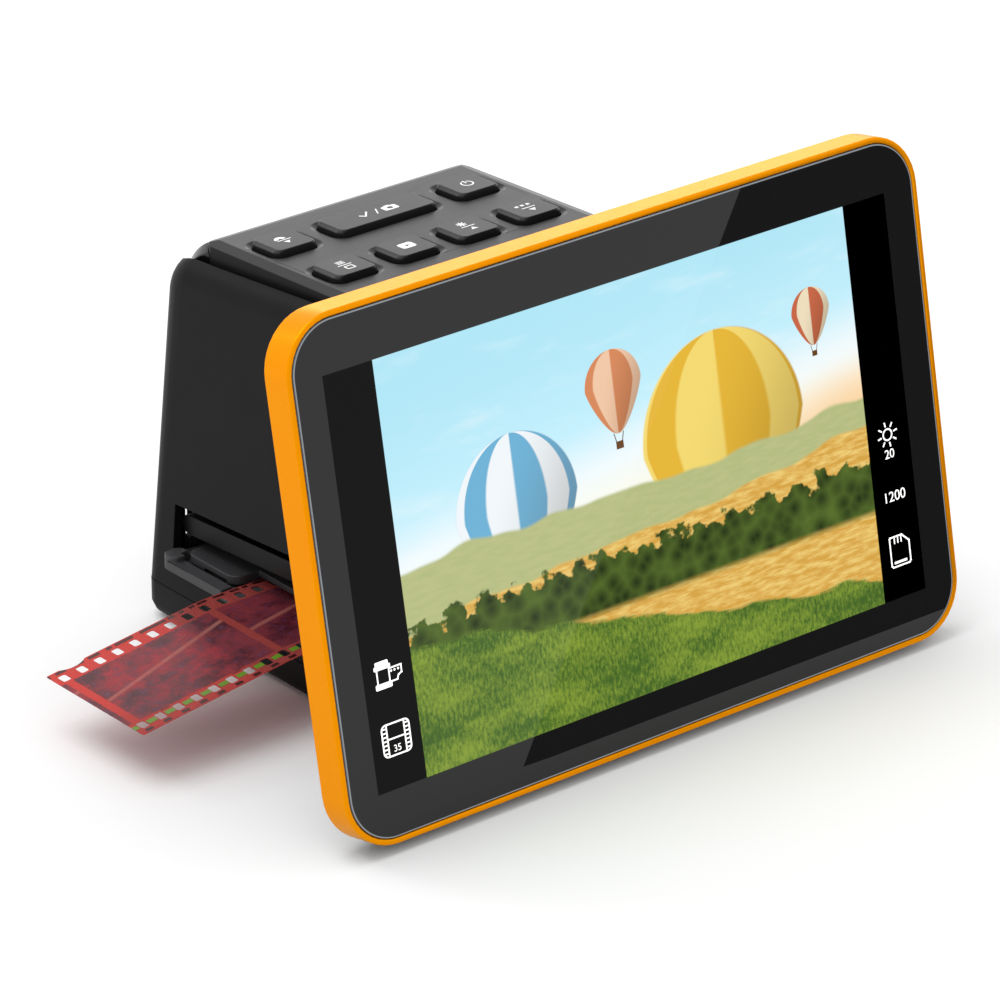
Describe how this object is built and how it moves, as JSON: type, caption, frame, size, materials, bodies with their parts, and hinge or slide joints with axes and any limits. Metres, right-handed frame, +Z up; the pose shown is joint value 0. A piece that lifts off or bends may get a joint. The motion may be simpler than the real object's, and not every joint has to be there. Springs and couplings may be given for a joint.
{
  "type": "film negative scanner",
  "caption": "Table-top film scanner with a wide tilted screen on a small tapered body, push buttons on top and a lidded film tray that slides through its foot.",
  "frame": {"origin": "on the resting plane, in the plane of symmetry of the body, midway between the face of the screen and the back of the body", "axes": "+X along the screen, to the right for someone who faces it; +Y from the screen to the back; +Z up"},
  "size_m": [0.1944, 0.1248, 0.1146],
  "materials": {
    "orange_frame": "bright orange, satin",
    "black_glass": "polished black",
    "lcd": "dark panel",
    "silver_metal": "bright steel",
    "black_plastic": "fine satin black",
    "glossy_black": "gloss black",
    "grey_plastic": "satin dark grey",
    "button_grey": "satin dark grey with white signs",
    "foot_rubber": "matte",
    "inner_plastic": "matte",
    "tray_plastic": "satin",
    "film_base": "glossy brown-red film",
    "ribbon": "amber film",
    "board_green": "solder mask",
    "white_board": "white",
    "led_yellow": "phosphor yellow",
    "diffuser_white": "milky white",
    "lens_glass": "clear",
    "chip_black": "moulded black",
    "white_ink": "printed and lit signs"
  },
  "bodies": {
    "scanner": {"screen_frame": "orange_frame", "cover_glass": "black_glass", "lcd_panel": "lcd", "lcd_backlight": "silver_metal", "screen_back_cover": "black_plastic", "lcd_ribbon": "ribbon", "left_side_cover": "black_plastic", "right_side_cover": "black_plastic", "top_cover": "grey_plastic", "rear_cover": "glossy_black", "front_wall": "black_plastic", "base_case": "black_plastic", "rubber_feet": "foot_rubber", "button_board": "board_green", "tact_switches": "silver_metal", "button_ribbon": "ribbon", "inner_frame": "inner_plastic", "tray_channel": "inner_plastic", "upper_guide": "black_plastic", "detent_springs": "silver_metal", "led_board": "white_board", "light_leds": "led_yellow", "light_box": "white_board", "light_diffuser": "diffuser_white", "camera_housing": "black_plastic", "lens_barrel": "black_plastic", "front_lens": "lens_glass", "rear_lens": "lens_glass", "ir_filter": "lens_glass", "image_sensor": "chip_black", "sensor_board": "board_green", "main_board": "board_green", "main_chips": "chip_black", "usb_socket": "silver_metal", "card_socket": "silver_metal", "hdmi_socket": "silver_metal", "base_screws": "silver_metal", "display_screws": "silver_metal", "board_screws": "silver_metal", "keypad_screws": "silver_metal"},
    "turn_button": {"button_turn": "button_grey"},
    "ok_button": {"button_ok": "button_grey"},
    "power_button": {"button_power": "button_grey"},
    "menu_button": {"button_menu": "button_grey"},
    "play_button": {"button_play": "button_grey"},
    "up_arrow_button": {"button_up_arrow": "button_grey"},
    "down_arrow_button": {"button_down_arrow": "button_grey"},
    "tray": {"film_tray": "tray_plastic", "lid_hinge_pins": "silver_metal"},
    "lid": {"tray_lid": "tray_plastic"},
    "film": {"film_strip": "film_base"}
  },
  "joints": [
    {"name": "turn_press", "type": "slide", "parent": "scanner", "child": "turn_button", "axis": [0, -0.0476, -0.9989], "range_m": [0, 0.0006], "stiffness_N_per_m": 1500, "springref_m": -0.0003},
    {"name": "ok_press", "type": "slide", "parent": "scanner", "child": "ok_button", "axis": [0, -0.0476, -0.9989], "range_m": [0, 0.0006], "stiffness_N_per_m": 1500, "springref_m": -0.0003},
    {"name": "power_press", "type": "slide", "parent": "scanner", "child": "power_button", "axis": [0, -0.0476, -0.9989], "range_m": [0, 0.0006], "stiffness_N_per_m": 1500, "springref_m": -0.0003},
    {"name": "menu_press", "type": "slide", "parent": "scanner", "child": "menu_button", "axis": [0, -0.0476, -0.9989], "range_m": [0, 0.0006], "stiffness_N_per_m": 1500, "springref_m": -0.0003},
    {"name": "play_press", "type": "slide", "parent": "scanner", "child": "play_button", "axis": [0, -0.0476, -0.9989], "range_m": [0, 0.0006], "stiffness_N_per_m": 1500, "springref_m": -0.0003},
    {"name": "up_arrow_press", "type": "slide", "parent": "scanner", "child": "up_arrow_button", "axis": [0, -0.0476, -0.9989], "range_m": [0, 0.0006], "stiffness_N_per_m": 1500, "springref_m": -0.0003},
    {"name": "down_arrow_press", "type": "slide", "parent": "scanner", "child": "down_arrow_button", "axis": [0, -0.0476, -0.9989], "range_m": [0, 0.0006], "stiffness_N_per_m": 1500, "springref_m": -0.0003},
    {"name": "tray_slide", "type": "slide", "parent": "scanner", "child": "tray", "axis": [-1, 0, 0], "range_m": [-0.02, 0.045]},
    {"name": "lid_hinge", "type": "hinge", "parent": "tray", "child": "lid", "pos_m": [0, -0.0233, 0.0197], "axis": [1, 0, 0], "range_deg": [0, 2.2]},
    {"name": "film_slide", "type": "slide", "parent": "tray", "child": "film", "axis": [-1, 0, 0], "range_m": [0, 0.038]}
  ]
}
